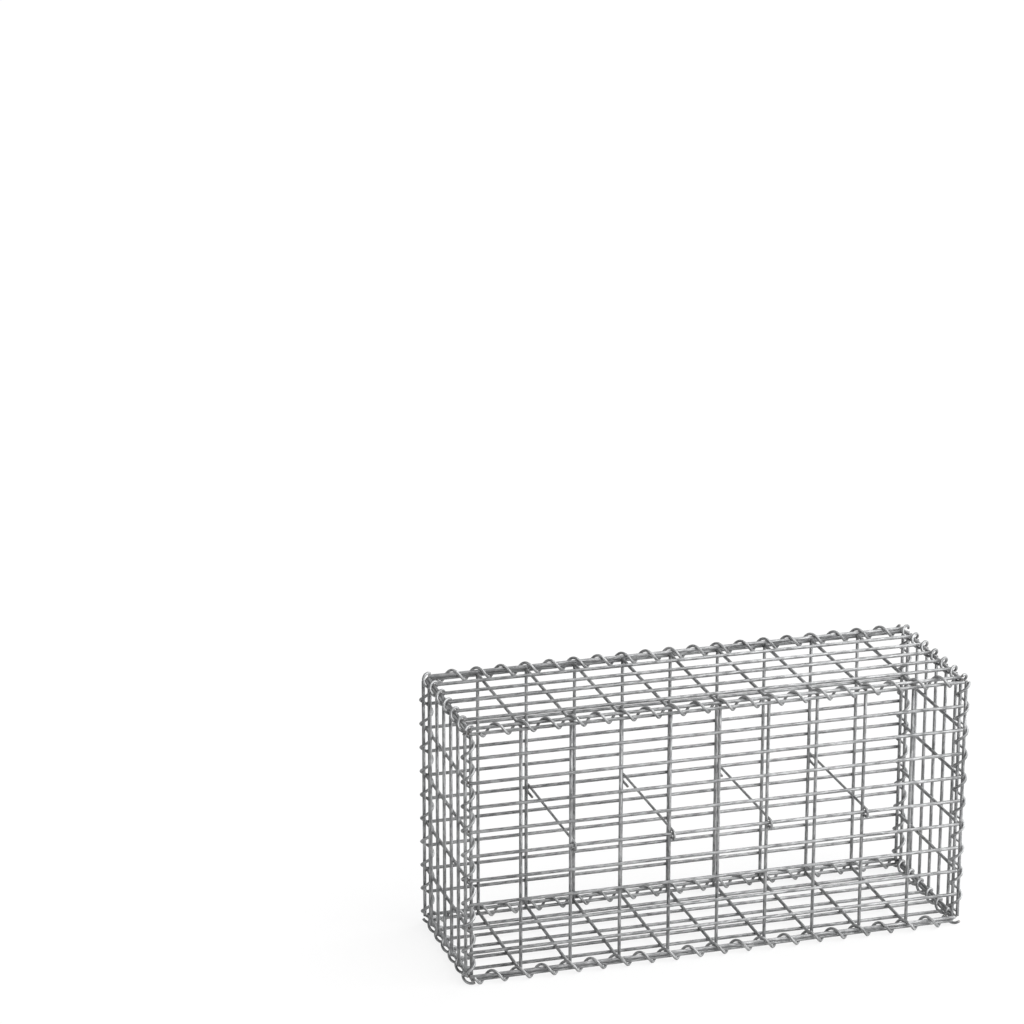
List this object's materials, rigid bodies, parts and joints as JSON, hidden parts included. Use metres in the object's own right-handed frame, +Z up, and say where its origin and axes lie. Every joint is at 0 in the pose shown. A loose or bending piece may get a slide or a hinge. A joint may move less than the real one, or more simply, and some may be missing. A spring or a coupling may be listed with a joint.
{
  "type": "gabion basket",
  "caption": "Empty welded wire mesh gabion basket with its lid closed, laced along every edge with spiral wire and braced front to back by hooked ties",
  "frame": {"origin": "middle of the footprint at ground level, under the lowest turns of the base spirals", "axes": "+X along the length to the right end, +Y from the front to the back, +Z up to the lid"},
  "size_m": [1.0382, 0.3322, 0.5362],
  "materials": {
    "mesh_wire": "galvanised, dull zinc grey, weld marks at the crossings",
    "spiral_wire": "galvanised, satin zinc grey",
    "tie_wire": "galvanised, satin zinc grey"
  },
  "bodies": {
    "root": {"front_panel": "mesh_wire", "back_panel": "mesh_wire", "base_panel": "mesh_wire", "lid_panel": "mesh_wire", "left_end_panel": "mesh_wire", "right_end_panel": "mesh_wire", "front_top_spiral": "spiral_wire", "back_top_spiral": "spiral_wire", "front_base_spiral": "spiral_wire", "back_base_spiral": "spiral_wire", "left_top_spiral": "spiral_wire", "right_top_spiral": "spiral_wire", "left_base_spiral": "spiral_wire", "right_base_spiral": "spiral_wire", "front_left_spiral": "spiral_wire", "front_right_spiral": "spiral_wire", "back_left_spiral": "spiral_wire", "back_right_spiral": "spiral_wire", "cross_tie_1": "tie_wire", "cross_tie_2": "tie_wire", "cross_tie_3": "tie_wire", "cross_tie_4": "tie_wire"}
  },
  "joints": []
}
